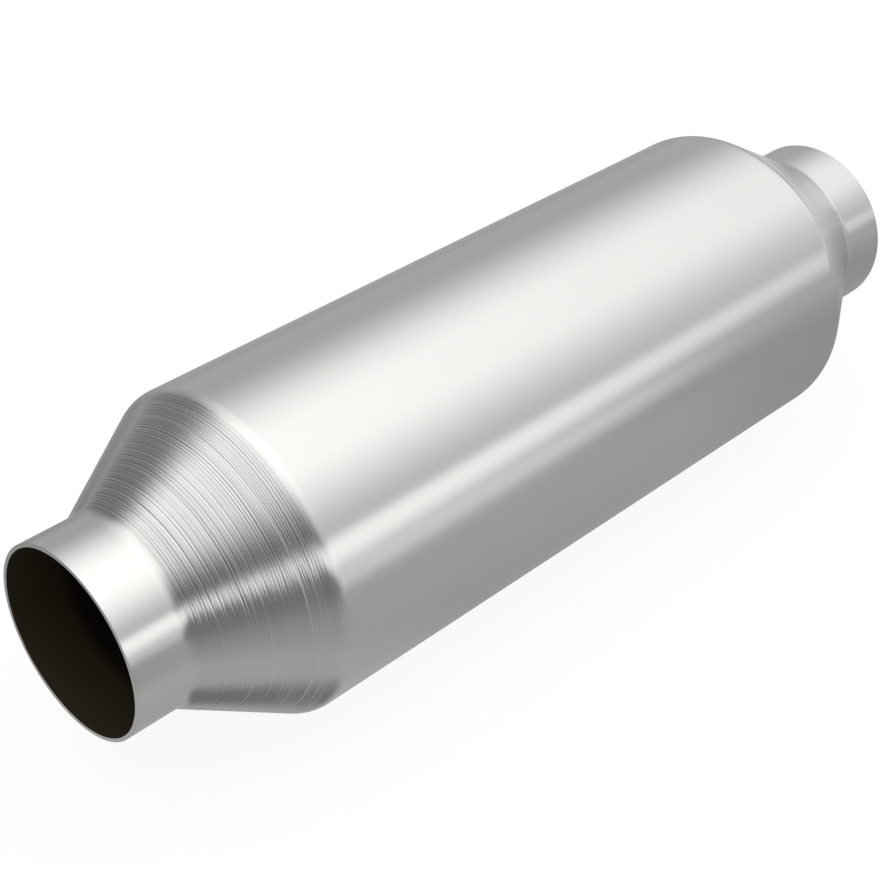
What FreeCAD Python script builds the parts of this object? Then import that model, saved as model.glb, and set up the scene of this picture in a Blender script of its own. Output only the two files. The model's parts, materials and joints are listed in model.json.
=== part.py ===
import FreeCAD, Part
import math
import os

# Catalytic converter for an exhaust line. One steel tube is spun down at both ends to a cone and a
# neck, and it holds two ceramic honeycomb bricks, each wrapped in a mat with a mesh ring at either
# edge of the mat. Millimetres, flow along +X, +Z up, the origin on the axis halfway along.

# Shell, with its lengths taken between the corners of the outside
wall = 1.2
neck_bore_r = 28.6
neck_length = 18.5
cone_length = 35.4
body_length = 223.5
body_r = 51.0
neck_bend_r = 7.0
shoulder_r = 7.2
rim_round_r = 0.3

# Bricks, each set back from the shoulder beside it and apart from the other
brick_inset = 9.25
brick_gap = 15.0
brick_skin = 1.0
cell_pitch = 4.5
cell_wall = 0.6

# Mats in the space between brick and shell, with a mesh ring against each of their ends
mat_thickness = 3.3
mat_joint_gap = 0.4
mat_tongue_length = 20.0
ring_width = 8.0
ring_inset = 2.0
ring_edge_r = 1.0

# Worked out from the values above
neck_r = neck_bore_r + wall
body_bore_r = body_r - wall
half_body = body_length / 2
half_cones = half_body + cone_length
half_length = half_cones + neck_length
cone_angle = math.atan2(body_r - neck_r, cone_length)
bore_corner_shift = wall * math.tan(cone_angle / 2)
rim_rounding = min(rim_round_r, wall / 3)
brick_r = body_bore_r - mat_thickness
brick_length = half_body - brick_inset - brick_gap / 2
brick_centre = (brick_gap + brick_length) / 2
mat_length = brick_length - 2 * (ring_inset + ring_width)
ring_rounding = min(ring_edge_r, mat_thickness / 3, ring_width / 3)
axis_point = FreeCAD.Vector(0, 0, 0)
flow = FreeCAD.Vector(1, 0, 0)


# A closed outline in the XZ plane through (x, radius, rounding) corners, each with its tangent arc
def rounded_outline(corners):
    points = [FreeCAD.Vector(x, 0, r) for x, r, rounding in corners]
    arcs = []
    for index, corner in enumerate(points):
        rounding = corners[index][2]
        before = (points[index - 1] - corner).normalize()
        after = (points[(index + 1) % len(points)] - corner).normalize()
        inward = (before + after).normalize()
        half_angle = before.getAngle(after) / 2
        reach = rounding / math.tan(half_angle)
        depth = rounding / math.sin(half_angle) - rounding
        arcs.append((corner + before * reach, corner + inward * depth, corner + after * reach))
    edges = []
    for index, (start, middle, end) in enumerate(arcs):
        next_start = arcs[(index + 1) % len(arcs)][0]
        edges.append(Part.Arc(start, middle, end).toShape())
        edges.append(Part.LineSegment(end, next_start).toShape())
    return Part.Wire(edges)


# A turned piece: an outline swept once round the flow axis
def turned(corners):
    return Part.Face(rounded_outline(corners)).revolve(axis_point, flow, 360)


# A plain sleeve, or a sector of one, between two places on the axis and two radii
def sleeve(start, end, inner_r, outer_r, angle=360):
    base = FreeCAD.Vector(start, 0, 0)
    outside = Part.makeCylinder(outer_r, end - start, base, flow, angle)
    inside = Part.makeCylinder(inner_r, end - start, base, flow, angle)
    return outside.cut(inside)


# Shell: the outside from the inlet mouth to the outlet mouth, then the inside back again
def make_shell():
    bore_half_body = half_body - bore_corner_shift
    bore_half_cones = half_cones - bore_corner_shift
    return turned([
        (-half_length, neck_r, rim_rounding),
        (-half_cones, neck_r, neck_bend_r),
        (-half_body, body_r, shoulder_r),
        (half_body, body_r, shoulder_r),
        (half_cones, neck_r, neck_bend_r),
        (half_length, neck_r, rim_rounding),
        (half_length, neck_bore_r, rim_rounding),
        (bore_half_cones, neck_bore_r, neck_bend_r + wall),
        (bore_half_body, body_bore_r, shoulder_r - wall),
        (-bore_half_body, body_bore_r, shoulder_r - wall),
        (-bore_half_cones, neck_bore_r, neck_bend_r + wall),
        (-half_length, neck_bore_r, rim_rounding),
    ])


# Square cell openings of a brick's face, every one that fits whole inside the skin
def cell_wires(face_x):
    half_cell = (cell_pitch - cell_wall) / 2
    limit = brick_r - brick_skin
    count = math.ceil(limit / cell_pitch)
    wires = []
    for row in range(-count, count + 1):
        for column in range(-count, count + 1):
            y = column * cell_pitch
            z = row * cell_pitch
            if math.hypot(abs(y) + half_cell, abs(z) + half_cell) > limit:
                continue
            corners = [
                FreeCAD.Vector(face_x, y - half_cell, z - half_cell),
                FreeCAD.Vector(face_x, y + half_cell, z - half_cell),
                FreeCAD.Vector(face_x, y + half_cell, z + half_cell),
                FreeCAD.Vector(face_x, y - half_cell, z + half_cell),
            ]
            wires.append(Part.makePolygon(corners + corners[:1]))
    return wires


# Brick: one extruded round of ceramic with straight square cells right through
def make_brick(centre):
    start = centre - brick_length / 2
    rim = Part.Wire(Part.makeCircle(brick_r, FreeCAD.Vector(start, 0, 0), flow))
    face = Part.makeFace([rim] + cell_wires(start), "Part::FaceMakerBullseye")
    return face.extrude(flow * brick_length)


# Mat: a sleeve wrapped once round the brick, its two ends meeting at the top round a tongue
def make_mat(centre):
    start = centre - mat_length / 2
    tongue_start = start + mat_length / 3
    tongue_end = start + mat_length * 2 / 3
    tongue_angle = math.degrees(mat_tongue_length / brick_r)
    half_gap = mat_joint_gap / 2
    cuts = []
    for place, angle in [(start, 0), (tongue_start, tongue_angle), (tongue_end, 0)]:
        slot = Part.makeBox(mat_length / 3 + mat_joint_gap, mat_joint_gap, body_r)
        slot.translate(FreeCAD.Vector(place - half_gap, -half_gap, 0))
        slot.rotate(axis_point, flow, -angle)
        cuts.append(slot)
    for edge in [tongue_start, tongue_end]:
        slot = sleeve(edge - half_gap, edge + half_gap, brick_r - wall, body_r, tongue_angle)
        slot.rotate(axis_point, flow, -tongue_angle)
        cuts.append(slot)
    return sleeve(start, start + mat_length, brick_r, body_bore_r).cut(cuts)


# Edge ring: knitted wire pressed into the same space as the mat, against one of its ends
def make_ring(near, far):
    return turned([
        (near, brick_r, ring_rounding),
        (near, body_bore_r, ring_rounding),
        (far, body_bore_r, ring_rounding),
        (far, brick_r, ring_rounding),
    ])


def save(shape, node):
    shape.exportStep("parts/" + node + ".step")


os.makedirs("parts", exist_ok=True)
save(make_shell(), "shell")
for name, centre in [("front", -brick_centre), ("rear", brick_centre)]:
    mat_start = centre - mat_length / 2
    mat_end = centre + mat_length / 2
    save(make_brick(centre), name + "_brick")
    save(make_mat(centre), name + "_mat")
    save(make_ring(mat_start - ring_width, mat_start), name + "_mat_inlet_ring")
    save(make_ring(mat_end, mat_end + ring_width), name + "_mat_outlet_ring")
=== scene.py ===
import json
import math
import random

import bpy
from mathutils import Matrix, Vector
from mathutils.geometry import tessellate_polygon


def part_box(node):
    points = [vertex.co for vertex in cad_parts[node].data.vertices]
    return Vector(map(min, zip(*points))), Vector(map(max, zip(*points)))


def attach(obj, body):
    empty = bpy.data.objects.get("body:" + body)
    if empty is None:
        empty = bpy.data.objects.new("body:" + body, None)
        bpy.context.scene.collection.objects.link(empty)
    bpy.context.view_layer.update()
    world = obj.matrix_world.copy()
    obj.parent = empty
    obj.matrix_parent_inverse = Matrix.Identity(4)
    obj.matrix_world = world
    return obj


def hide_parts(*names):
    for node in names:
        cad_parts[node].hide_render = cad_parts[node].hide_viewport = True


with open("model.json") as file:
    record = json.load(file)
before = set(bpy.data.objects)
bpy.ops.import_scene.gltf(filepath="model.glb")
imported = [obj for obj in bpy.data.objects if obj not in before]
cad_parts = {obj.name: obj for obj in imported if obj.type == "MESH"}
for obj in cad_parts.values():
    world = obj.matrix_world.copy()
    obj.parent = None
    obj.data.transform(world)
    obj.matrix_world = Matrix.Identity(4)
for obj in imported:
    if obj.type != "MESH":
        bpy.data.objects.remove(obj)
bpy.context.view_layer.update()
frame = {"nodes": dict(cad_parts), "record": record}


# Bricks: two rounds of extruded ceramic, 400 square cells to the square inch running straight
# through, washcoated a dull grey-brown. Each goes into the steel tube pressed inside its mat, the
# inlet brick first in the flow.
cell_pitch = 0.00127
cell_opening = 0.00106
brick_skin = 0.0008
brick_sides = 160
unit_square = [(0, 0), (1, 0), (1, 1), (0, 1)]
coat_pale = (0.52, 0.45, 0.35, 1)
coat_dark = (0.33, 0.28, 0.21, 1)
coat_roughness = 0.92
cloud_scale = 90.0
cloud_detail = 4.0
stain_range = (0.36, 0.64)
grain_scale = 5200.0
grain_detail = 2.0
grain_depth = 0.00002


# The cells that fit whole inside the skin, all their corners, and the corners round their border
def cells_inside(radius):
    reach = int(radius / cell_pitch) + 1
    span = range(-reach, reach + 1)
    fits = radius - brick_skin
    cells = [(i, j) for i in span for j in span
             if math.hypot(abs(i) + 0.5, abs(j) + 0.5) * cell_pitch < fits]
    edges = {((i + a[0], j + a[1]), (i + b[0], j + b[1]))
             for i, j in cells for a, b in zip(unit_square, unit_square[1:] + unit_square[:1])}
    follows = {a: b for a, b in edges if (b, a) not in edges}
    border = [min(follows)]
    while follows[border[-1]] != border[0]:
        border.append(follows[border[-1]])
    return cells, {corner for edge in edges for corner in edge}, border


# A brick with open cells: a lattice of cell walls at each end, filled out to a round rim, and then
# the sides of the cells and of the round from one end to the other
def honeycomb_mesh(name, low, high, radius):
    cells, corners, border = cells_inside(radius)
    points = []
    faces = []
    rims = []
    ends = []
    for x, facing in ((low, -1), (high, 1)):
        lattice = {}
        for i, j in corners:
            lattice[i, j] = len(points)
            points.append((x, (i - 0.5) * cell_pitch, (j - 0.5) * cell_pitch))
        openings = []
        for i, j in cells:
            around = [lattice[i + a, j + b] for a, b in unit_square]
            opening = list(range(len(points), len(points) + 4))
            for a, b in unit_square:
                y = i * cell_pitch + (a - 0.5) * cell_opening
                z = j * cell_pitch + (b - 0.5) * cell_opening
                points.append((x, y, z))
            for side in range(4):
                after = (side + 1) % 4
                face = [around[side], around[after], opening[after], opening[side]]
                faces.append(face[::facing])
            openings.append(opening)
        rim = list(range(len(points), len(points) + brick_sides))
        for step in range(brick_sides):
            angle = math.tau * step / brick_sides
            points.append((x, radius * math.cos(angle), radius * math.sin(angle)))
        inner = [lattice[corner] for corner in border]
        loop = rim + inner
        outlines = [[Vector(points[k]) for k in rim], [Vector(points[k]) for k in inner]]
        for triangle in tessellate_polygon(outlines):
            a, b, c = (Vector(points[loop[k]]) for k in triangle)
            order = 1 if (b - a).cross(c - a).x * facing > 0 else -1
            faces.append([loop[k] for k in triangle][::order])
        rims.append(rim)
        ends.append(openings)
    for near, far in zip(*ends):
        for side in range(4):
            after = (side + 1) % 4
            faces.append([near[side], far[side], far[after], near[after]])
    for step in range(brick_sides):
        after = (step + 1) % brick_sides
        faces.append([rims[0][step], rims[0][after], rims[1][after], rims[1][step]])
    mesh = bpy.data.meshes.new(name)
    mesh.from_pydata(points, [], faces)
    return mesh


# A new material, with its node tree and its shader
def start_material(name, colour, metallic, roughness):
    material = bpy.data.materials.new(name)
    material.use_nodes = True
    shader = material.node_tree.nodes["Principled BSDF"]
    shader.inputs["Base Color"].default_value = colour
    shader.inputs["Metallic"].default_value = metallic
    shader.inputs["Roughness"].default_value = roughness
    return material, material.node_tree, shader


# A new node with its settings, and with its inputs given as sockets to link or as plain values
def add_node(tree, kind, inputs=None, **settings):
    node = tree.nodes.new(kind)
    for key, value in settings.items():
        setattr(node, key, value)
    for socket, value in (inputs or {}).items():
        if isinstance(value, bpy.types.NodeSocket):
            tree.links.new(value, node.inputs[socket])
        else:
            node.inputs[socket].default_value = value
    return node


# Cloudy unevenness in space, finer with a larger scale
def add_noise(tree, place, scale, detail):
    inputs = {"Vector": place, "Scale": scale, "Detail": detail}
    return add_node(tree, "ShaderNodeTexNoise", inputs).outputs["Fac"]


# A value that runs from one level to another while its source goes from start to end
def ramp(tree, source, start, end, before=0.0, after=1.0, shape="LINEAR"):
    inputs = {"Value": source, "From Min": start, "From Max": end, "To Min": before, "To Max": after}
    return add_node(tree, "ShaderNodeMapRange", inputs, interpolation_type=shape).outputs["Result"]


def mix_colours(tree, share, colour, other):
    inputs = {"Factor": share, "A": colour, "B": other}
    return add_node(tree, "ShaderNodeMix", inputs, data_type="RGBA").outputs["Result"]


# Gives a shader its colour and its fine relief, where a height of 1 stands for the depth in metres
def dress(tree, shader, colour, height, depth):
    bump = add_node(tree, "ShaderNodeBump", {"Height": height, "Distance": depth})
    tree.links.new(colour, shader.inputs["Base Color"])
    tree.links.new(bump.outputs["Normal"], shader.inputs["Normal"])


washcoat, tree, shader = start_material("washcoated_ceramic", coat_pale, 0.0, coat_roughness)
place = add_node(tree, "ShaderNodeTexCoord").outputs["Object"]
stain = ramp(tree, add_noise(tree, place, cloud_scale, cloud_detail), *stain_range)
grains = add_noise(tree, place, grain_scale, grain_detail)
dress(tree, shader, mix_colours(tree, stain, coat_dark, coat_pale), grains, grain_depth)

for node in ("front_brick", "rear_brick"):
    low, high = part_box(node)
    mesh = honeycomb_mesh(node + "_honeycomb", low.x, high.x, (high.y - low.y) / 2)
    mesh.materials.append(washcoat)
    brick = bpy.data.objects.new(node + "_honeycomb", mesh)
    bpy.context.collection.objects.link(brick)
    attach(brick, "root")
    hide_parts(node)


# Mats: one layer of ceramic fibre with vermiculite flakes, wrapped round each brick with its ends
# meeting in a tongue, and squeezed to 3.3 mm as the brick is pressed into the tube. They swell when
# hot and hold the bricks.
fibre_colour = (0.66, 0.60, 0.47, 1)
flake_colour = (0.40, 0.27, 0.12, 1)
mat_roughness = 0.95
flake_scale = 850.0
flake_edge = 0.42
flake_heart = 0.30
fibre_scale = 1600.0
fibre_detail = 6.0
fibre_depth = 0.0002

mat_felt, tree, shader = start_material("fibre_mat", fibre_colour, 0.0, mat_roughness)
place = add_node(tree, "ShaderNodeTexCoord").outputs["Object"]
flake_cells = add_node(tree, "ShaderNodeTexVoronoi", {"Vector": place, "Scale": flake_scale})
flakes = ramp(tree, flake_cells.outputs["Distance"], flake_edge, flake_heart)
fibres = add_noise(tree, place, fibre_scale, fibre_detail)
dress(tree, shader, mix_colours(tree, flakes, fibre_colour, flake_colour), fibres, fibre_depth)

for node in ("front_mat", "rear_mat"):
    frame["nodes"][node].material_slots[0].material = mat_felt


# Edge rings: stainless wire knitted into a sock, rolled up and pressed in beside each end of a mat,
# where it keeps the gas off the fibre.
wire_colour = (0.42, 0.40, 0.37, 1)
gap_painted_shade_colour = (0.03, 0.03, 0.03, 1)
wire_roughness = 0.42
wire_depth = 0.00015
loops_round = 190.0
loops_across = 900.0
loop_sway = 1.6
gap_height = -0.7
wire_height = 0.5
wire_in_gap = 0.06


# Arithmetic on sockets and numbers
def calculate(tree, operation, *values):
    return add_node(tree, "ShaderNodeMath", dict(enumerate(values)), operation=operation).outputs["Value"]


# The same on vectors, which gives a vector, or a number for a length or a dot product
def calculate_vector(tree, operation, *values):
    node = add_node(tree, "ShaderNodeVectorMath", dict(enumerate(values)), operation=operation)
    return node.outputs["Value" if operation in ("LENGTH", "DOT_PRODUCT") else "Vector"]


# Rows of loops follow one another along the flow on a ring's round sides and outwards on its ends
knit, tree, shader = start_material("knitted_wire", wire_colour, 1.0, wire_roughness)
place = add_node(tree, "ShaderNodeTexCoord").outputs["Object"]
axes = add_node(tree, "ShaderNodeSeparateXYZ", {"Vector": place}).outputs
off_axis = calculate_vector(tree, "LENGTH", calculate_vector(tree, "MULTIPLY", place, (0, 1, 1)))
across = calculate(tree, "ADD", off_axis, axes["X"])
row = calculate(tree, "MULTIPLY", across, loops_across * math.tau)
turn = calculate(tree, "MULTIPLY", calculate(tree, "ARCTAN2", axes["Y"], axes["Z"]), loops_round)
bent_row = calculate(tree, "MULTIPLY_ADD", calculate(tree, "SINE", turn), loop_sway, row)
strands = calculate(tree, "SINE", bent_row)
wire = ramp(tree, strands, gap_height, wire_height, wire_in_gap, 1.0)
# Between the strands the knit is painted near-black: a painted shade for the gaps between its loops
dress(tree, shader, mix_colours(tree, wire, gap_painted_shade_colour, wire_colour), strands, wire_depth)

for node in ("front_mat_inlet_ring", "front_mat_outlet_ring", "rear_mat_inlet_ring", "rear_mat_outlet_ring"):
    frame["nodes"][node].material_slots[0].material = knit


# Shell: one stainless tube, closed down over the bricks by spinning, which leaves a cone and a pipe
# neck at each end. The roller rings the inlet cone with irregular grooves that stop clean at the
# shoulder, and the outlet cone with wide, shallow ones. The mouths are faced off square.
wall = 0.0012
neck_length = 0.0185
cone_length = 0.0354
neck_bend_r = 0.007
shoulder_r = 0.0072
bend_steps = 5
rim_round_r = 0.0001
rim_steps = 5
rim_clear = 0.00012
shell_sides = 180
passes_start = 0.0176
passes_full = 0.0215
inlet_passes_end = 0.0527
inlet_narrowest_pass = 0.0003
inlet_widest_pass = 0.00085
inlet_nose_r = 0.0011
inlet_deepest_cut = 0.000070
inlet_press = 1.0
inlet_seed = 5
outlet_passes_end = 0.0460
outlet_narrowest_pass = 0.0009
outlet_widest_pass = 0.0032
outlet_nose_r = 0.007
outlet_deepest_cut = 0.0
outlet_press = 0.5
outlet_seed = 6
press_range = (0.75, 1.15)
press_change_share = 0.3
hollow_range = (0.6, 1.3)
cut_share = 0.8
rings_a_pass = 5
ring_end = 0.0002
even_share = 0.75
turn_seed = 8
steel_colour = (0.606, 0.603, 0.588, 1)
steel_roughness = 0.20
ring_streak_colour = (0.550, 0.547, 0.533, 1)
fine_mark_pitch = 0.00026
broad_mark_pitch = 0.0020
mark_detail = 3.0
mark_roughness = 0.6
streak_range = (0.35, 0.65)
smooth_mark_depth = 0.000003
rolled_mark_depth = 0.000036
broad_mark_depth = 0.000005
mark_sway = 0.0006
sway_scale = 14.0
sway_detail = 1.0
bore_painted_shade_colour = (0.036, 0.027, 0.015, 1)
bore_roughness = 0.9
bore_specular = 0.15

low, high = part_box("shell")
body_r = (high.y - low.y) / 2
neck_bore_r = frame["record"]["mounts"][0]["dims"]["r_mm"] / 1000
half_length = high.x
cone_angle = math.atan2(body_r - neck_bore_r - wall, cone_length)
half_turn = math.tan(cone_angle / 2)


# The radius of the tube, outside or in its bore, at a distance from the nearer mouth
def radius_at(place, depth=0.0):
    small = neck_bore_r + wall - depth
    large = body_r - depth
    bend_r = neck_bend_r + depth
    round_r = shoulder_r - depth
    past_neck = place - neck_length - depth * half_turn
    past_cone = past_neck - cone_length
    if past_neck < -bend_r * half_turn:
        return small
    if past_neck < bend_r * half_turn * math.cos(cone_angle):
        return small + bend_r - math.sqrt(bend_r ** 2 - (past_neck + bend_r * half_turn) ** 2)
    if past_cone < -round_r * half_turn * math.cos(cone_angle):
        return small + past_neck * math.tan(cone_angle)
    if past_cone < round_r * half_turn:
        return large - round_r + math.sqrt(round_r ** 2 - (round_r * half_turn - past_cone) ** 2)
    return large


# Where plain rings of the mesh go between a mouth and the body: close together where the wall turns,
# and two of them past either end of each turn
def plain_places():
    places = [rim_clear]
    steps = range(-bend_steps - 2, bend_steps + 3)
    for corner, rounding in ((neck_length, neck_bend_r), (neck_length + cone_length, shoulder_r)):
        places += [corner + rounding * half_turn * step / bend_steps for step in steps]
    return places


# The grooves of the roller's passes: each ring's place, its depth and how hard the roller pressed
def pass_rings(stop, narrowest, widest, nose_r, deepest, firmness, seed):
    chance = random.Random(seed)
    rings = []
    place = passes_start
    strength = 1.0
    while place < stop:
        if chance.random() < press_change_share:
            strength = chance.uniform(*press_range)
        width = min(chance.uniform(narrowest, widest), stop - place + ring_end)
        press = firmness * strength * min(1, (place - passes_start) / (passes_full - passes_start))
        hollow = (width / 2) ** 2 / (2 * nose_r) * chance.uniform(*hollow_range)
        cut = deepest * chance.random() ** 2 if chance.random() < cut_share else 0
        cut_step = chance.randrange(rings_a_pass)
        for step in range(rings_a_pass):
            off_centre = step / rings_a_pass * 2 - 1
            depth = hollow * (1 - off_centre ** 2) + (cut if step == cut_step else 0)
            rings.append((place + width * step / rings_a_pass, depth * press, press))
        place += width
    return rings


# The outline, from the inlet mouth along the outside and back along the bore: each ring of the mesh
# has its place on the axis, its radius, its groove's depth and the roller's press
rim = [(rim_round_r * (1 - math.sin(turn)), rim_round_r * (1 - math.cos(turn)))
       for turn in (math.pi / 2 * step / rim_steps for step in range(rim_steps + 1))]
places = plain_places()
inlet_passes = pass_rings(inlet_passes_end, inlet_narrowest_pass, inlet_widest_pass, inlet_nose_r,
                          inlet_deepest_cut, inlet_press, inlet_seed)
outlet_passes = pass_rings(outlet_passes_end, outlet_narrowest_pass, outlet_widest_pass, outlet_nose_r,
                           outlet_deepest_cut, outlet_press, outlet_seed)
before = [(place, 0.0, 0.0) for place in places if place < passes_start]
first_pass = len(rim) + len(before)
last_pass = first_pass + len(inlet_passes)
profile = [(-half_length + x, neck_bore_r + wall - dip, 0.0, 0.0) for x, dip in rim[::-1]]
for side, rows, stop in ((-1, inlet_passes, inlet_passes_end), (1, outlet_passes, outlet_passes_end)):
    beyond = [(place, 0.0, 0.0) for place in [stop + ring_end] + places if place > stop + ring_end / 2]
    outside = [(side * (half_length - place), radius_at(place), depth, press)
               for place, depth, press in before + rows + beyond]
    profile += outside[::-side]
profile += [(half_length - x, neck_bore_r + wall - dip, 0.0, 0.0) for x, dip in rim]
profile += [(half_length - x, neck_bore_r + dip, 0.0, 0.0) for x, dip in rim[::-1]]
bore_start = len(profile) - 1
profile += [(half_length - place, radius_at(place, wall), 0.0, 0.0) for place in places]
profile += [(-half_length + place, radius_at(place, wall), 0.0, 0.0) for place in places[::-1]]
bore_end = len(profile)
profile += [(-half_length + x, neck_bore_r + dip, 0.0, 0.0) for x, dip in rim]

# Each ring is sunk along the wall's normal by its depth, and most at an angle of its own
chance = random.Random(turn_seed)
points = []
rolled = []
for k, (x, r, depth, press) in enumerate(profile):
    ahead, behind = profile[(k + 1) % len(profile)], profile[k - 1]
    outward = Vector((behind[1] - ahead[1], ahead[0] - behind[0])).normalized()
    deepest_at = chance.uniform(0, math.tau)
    for side in range(shell_sides):
        angle = math.tau * side / shell_sides
        here = depth * (even_share + (1 - even_share) * math.cos(angle - deepest_at))
        reach = r - outward.y * here
        points.append((x - outward.x * here, reach * math.sin(angle), reach * math.cos(angle)))
        rolled.append(press)
faces = []
for k in range(len(profile)):
    here = k * shell_sides
    beyond = (k + 1) % len(profile) * shell_sides
    for side in range(shell_sides):
        after = (side + 1) % shell_sides
        faces.append((here + side, beyond + side, beyond + after, here + after))
mesh = bpy.data.meshes.new("spun_shell")
mesh.from_pydata(points, [], faces)
mesh.attributes.new("rolled", "FLOAT", "POINT").data.foreach_set("value", rolled)

# The bore has a material of its own, painted near-black as shade, and the inlet's grooves keep crisp edges
for k, face in enumerate(mesh.polygons):
    face.use_smooth = True
    face.material_index = 1 if bore_start <= k // shell_sides < bore_end else 0
for edge in mesh.edges:
    rings = {corner // shell_sides for corner in edge.vertices}
    edge.use_edge_sharp = len(rings) == 1 and first_pass <= rings.pop() < last_pass
shell = bpy.data.objects.new("spun_shell", mesh)
bpy.context.collection.objects.link(shell)


# Uneven rings that a turning tool or a roller leaves round the flow axis, about one to a pitch
def add_rings(tree, flow, pitch):
    inputs = {"W": calculate(tree, "DIVIDE", flow, pitch), "Scale": 1.0, "Detail": mark_detail,
              "Roughness": mark_roughness}
    return add_node(tree, "ShaderNodeTexNoise", inputs, noise_dimensions="1D").outputs["Fac"]


steel, tree, shader = start_material("spun_stainless", steel_colour, 1.0, steel_roughness)
rolled = add_node(tree, "ShaderNodeAttribute", attribute_name="rolled").outputs["Fac"]
place = add_node(tree, "ShaderNodeTexCoord").outputs["Object"]
flow = add_node(tree, "ShaderNodeSeparateXYZ", {"Vector": place}).outputs["X"]
sway = add_noise(tree, place, sway_scale, sway_detail)
flow = calculate(tree, "MULTIPLY_ADD", sway, mark_sway, flow)
fine_rings = add_rings(tree, flow, fine_mark_pitch)
fine_depth = ramp(tree, rolled, 0.0, 1.0, smooth_mark_depth, rolled_mark_depth)
fine_height = calculate(tree, "MULTIPLY", fine_rings, fine_depth)
broad_height = calculate(tree, "MULTIPLY", add_rings(tree, flow, broad_mark_pitch), broad_mark_depth)
height = calculate(tree, "ADD", fine_height, broad_height)
# The steel turns a little darker in streaks along the fine rings, the more the roller pressed
streaks = ramp(tree, fine_rings, *streak_range, 0.0, rolled)
dress(tree, shader, mix_colours(tree, streaks, steel_colour, ring_streak_colour), height, 1.0)
# The bore is painted near-black: a painted shade for the dark inside of the tube, in place of its bare steel
painted_bore_shade, _, shader = start_material("bore_with_painted_shade", bore_painted_shade_colour, 0.0, bore_roughness)
shader.inputs["Specular IOR Level"].default_value = bore_specular
mesh.materials.append(steel)
mesh.materials.append(painted_bore_shade)
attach(shell, "root")
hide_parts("shell")


# Stage: a pale round floor under the lowest line of the body, a camera where the photograph's stood,
# found from the object's outline, and soft studio light: one wide box overhead, a low strip in front
# and pale surroundings that darken towards the inlet.
floor_r = 4.0
floor_sides = 96
white = (1, 1, 1, 1)
seen_level = 0.91
seen_shade = (0.10, 0.10, 0.10, 1)
met_level = 0.31
met_shade = (0.2, 0.2, 0.2, 1)
patch_heart = 0.4
# Painted pools of light and shade on the floor's glow, seen in the steel: centre, reach and change of level
painted_light_and_shade_patches = (
    ((0.50, 0.09, 0), (0.32, 0.14, 1), 0.24),
    ((-0.16, -0.03, 0), (0.13, 0.10, 1), 0.10),
    ((0.20, -0.04, 0), (0.14, 0.14, 1), -0.10),
    ((-0.25, 0.35, 0), (0.36, 0.40, 1), -0.13),
    ((1.40, -0.10, 0), (1.10, 0.70, 1), 0.25),
    ((0.26, -0.21, 0), (0.17, 0.14, 1), -0.07),
)
camera_place = (-0.3595, -0.3358, 0.3306)
camera_tilt = 54.836
camera_heading = -44.784
camera_lens = 76.27


# A ramp that eases in and out
def ease(tree, source, start, end, before=0.0, after=1.0):
    return ramp(tree, source, start, end, before, after, "SMOOTHSTEP")


# An easing across the floor that goes from one distance to another along a heading
def ease_across(tree, place, heading, start, end, change=1.0):
    return ease(tree, calculate_vector(tree, "DOT_PRODUCT", place, heading), start, end, 0.0, change)


def product(tree, first, *others):
    for other in others:
        first = calculate(tree, "MULTIPLY", first, other)
    return first


# A surface that glows at a level and is shaded a little by what stands on it
def glowing(tree, level, shade):
    glow = add_node(tree, "ShaderNodeEmission", {"Color": white, "Strength": level})
    matt = add_node(tree, "ShaderNodeBsdfDiffuse", {"Color": shade})
    return add_node(tree, "ShaderNodeAddShader", {0: glow.outputs[0], 1: matt.outputs[0]}).outputs[0]


floor_rim = []
for step in range(floor_sides):
    angle = math.tau * step / floor_sides
    floor_rim.append((floor_r * math.cos(angle), floor_r * math.sin(angle), low.z))
floor_mesh = bpy.data.meshes.new("floor")
floor_mesh.from_pydata(floor_rim, [], [tuple(range(floor_sides))])
floor = bpy.data.objects.new("floor", floor_mesh)
bpy.context.collection.objects.link(floor)

# The floor is white to the camera. Other rays meet a grey glow with painted light and shade on it, which the
# steel shows in its reflections: patches, each with its centre, its reach and its change of level, a painted
# shade on the near side, a painted shade at the back and a painted light at the front
paper = bpy.data.materials.new("pale_floor")
paper.use_nodes = True
tree = paper.node_tree
tree.nodes.remove(tree.nodes["Principled BSDF"])
place = add_node(tree, "ShaderNodeNewGeometry").outputs["Position"]
level = met_level
for centre, reach, change in painted_light_and_shade_patches:
    offset = calculate_vector(tree, "SUBTRACT", place, centre)
    distance = calculate_vector(tree, "LENGTH", calculate_vector(tree, "DIVIDE", offset, reach))
    level = calculate(tree, "ADD", level, ease(tree, distance, 1.0, patch_heart, 0.0, change))
painted_shade_near = ease_across(tree, place, (-0.85, -0.53, 0), 0.08, 0.42, 0.28)
level = calculate(tree, "SUBTRACT", level, painted_shade_near)
painted_shade_back = ease_across(tree, place, (0, 1, 0), 0.10, 0.30, 0.07)
level = calculate(tree, "SUBTRACT", level, painted_shade_back)
lit_front = ease_across(tree, place, (0, -1, 0), 0.22, 0.48, 0.45)
lit_near = ease_across(tree, place, (-0.725, -0.688, 0), -0.04, 0.07)
lit_right = ease_across(tree, place, (1, 0, 0), -0.06, 0.12)
level = calculate(tree, "ADD", level, product(tree, lit_front, lit_near, lit_right))
# Painted shade: the floor's glow to other rays dims where a ray meets it head-on, so the steel shows a dark
# band straight below it
facing = add_node(tree, "ShaderNodeLayerWeight").outputs["Facing"]
level = product(tree, level, ease(tree, facing, 0.0, 0.075, 0.22, 1.0))
ray = add_node(tree, "ShaderNodeLightPath").outputs["Is Camera Ray"]
surfaces = {0: ray, 1: glowing(tree, level, met_shade), 2: glowing(tree, seen_level, seen_shade)}
either = add_node(tree, "ShaderNodeMixShader", surfaces)
tree.links.new(either.outputs[0], tree.nodes["Material Output"].inputs["Surface"])
floor_mesh.materials.append(paper)

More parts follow.
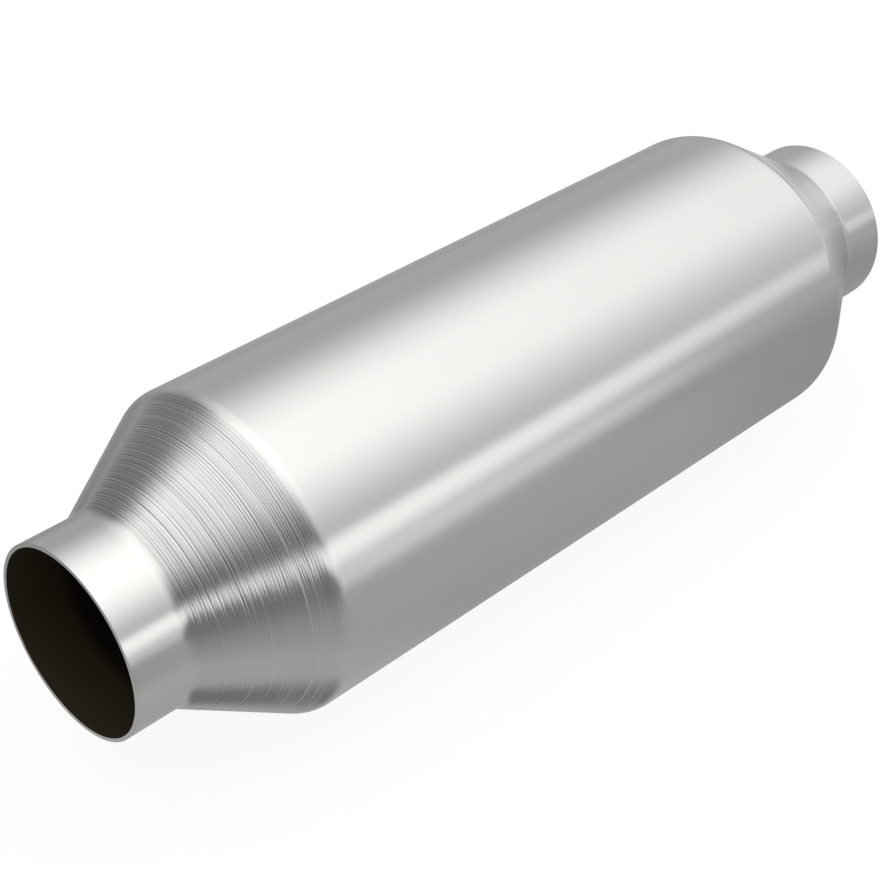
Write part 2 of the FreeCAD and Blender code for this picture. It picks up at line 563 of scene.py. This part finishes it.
# Lights are placed by how far a direction goes along the flow and how far it leans to the front from
# straight up, in degrees
world = bpy.data.worlds.new("studio")
world.use_nodes = True
tree = world.node_tree
direction = add_node(tree, "ShaderNodeTexCoord").outputs["Generated"]
axes = add_node(tree, "ShaderNodeSeparateXYZ", {"Vector": direction}).outputs
along = axes["X"]
sideways = calculate(tree, "ABSOLUTE", along)
forward = calculate(tree, "MULTIPLY", axes["Y"], -1.0)
lean = calculate(tree, "DEGREES", calculate(tree, "ARCTAN2", forward, axes["Z"]))


# A value that eases from the inlet's side to the outlet's
def end_to_end(tree, along, inlet, outlet):
    return ease(tree, along, -0.3, 0.2, inlet, outlet)


# Pale surroundings, darker on the inlet's side. Towards the outlet they are a little paler above the
# strip and a little darker below it
back_rise = ease(tree, lean, -84.0, -62.0, 0.16, 0.22)
front_fall = ease(tree, lean, 84.0, 92.0, 1.0, 0.0)
inlet_level = product(tree, back_rise, front_fall)
surroundings = ease(tree, along, -0.35, 0.45, inlet_level, 0.55)
fill_rise = ease(tree, lean, 45.0, 60.0)
fill_fall = ease(tree, lean, 76.0, 90.0, 1.0, -1.0)
fill = product(tree, fill_rise, fill_fall, ease(tree, along, 0.45, 0.75, 0.0, 0.09))
glow = calculate(tree, "ADD", surroundings, fill)

# The box overhead, wider towards the outlet
box_start = end_to_end(tree, along, -53.0, -68.0)
box_full = end_to_end(tree, along, -24.0, -5.0)
box_end = end_to_end(tree, along, 62.0, 78.0)
box_rise = ease(tree, lean, box_start, box_full)
box_fall = ease(tree, lean, 16.0, box_end, 1.0, 0.0)
box_ends = ease(tree, sideways, 0.2, 1.1, 1.0, 0.43)
box_level = ease(tree, along, -0.35, 0.35, 1.39, 1.25)
box = product(tree, box_rise, box_fall, box_ends, box_level)

# The strip in front, with a dimmer skirt under it from the middle to halfway towards the outlet
strip_end = ease(tree, along, -0.45, 0.0, 86.0, 90.0)
strip_level = end_to_end(tree, along, 1.28, 0.63)
strip_fall = ease(tree, lean, 80.0, strip_end, 1.0, 0.0)
skirt_rise = ease(tree, along, -0.25, 0.25, 0.0, 0.40)
skirt_level = product(tree, skirt_rise, ease(tree, along, 0.5, 0.75, 1.0, 0.0))
skirt_fall = ease(tree, lean, 86.0, 100.0, 1.0, 0.0)
strip = product(tree, strip_fall, strip_level)
strip = calculate(tree, "ADD", strip, product(tree, skirt_fall, skirt_level))
strip_rise = ease(tree, lean, 68.0, 73.0)
strip_ends = ease(tree, sideways, 0.6, 0.85, 1.0, 0.4)
strip = product(tree, strip, strip_rise, strip_ends)

# All of it is dark beyond the inlet, where the camera stands, and a little brighter beyond the outlet
camera_side = ease(tree, along, -0.95, -0.55, 0.1, 1.0)
outlet_side = ease(tree, along, 0.78, 0.92, 1.0, 1.15)
glow = calculate(tree, "ADD", glow, calculate(tree, "ADD", box, strip))
glow = product(tree, glow, camera_side, outlet_side)
ray = add_node(tree, "ShaderNodeLightPath").outputs["Is Camera Ray"]
shown = add_node(tree, "ShaderNodeMix", {"Factor": ray, "A": glow, "B": 1.0})
backdrop = tree.nodes["Background"]
backdrop.inputs["Color"].default_value = white
tree.links.new(shown.outputs["Result"], backdrop.inputs["Strength"])
bpy.context.scene.world = world
bpy.context.scene.view_settings.view_transform = "Standard"

camera_data = bpy.data.cameras.new("camera")
camera_data.lens = camera_lens
camera = bpy.data.objects.new("camera", camera_data)
camera.location = camera_place
camera.rotation_euler = (math.radians(camera_tilt), 0, math.radians(camera_heading))
bpy.context.collection.objects.link(camera)
bpy.context.scene.camera = camera
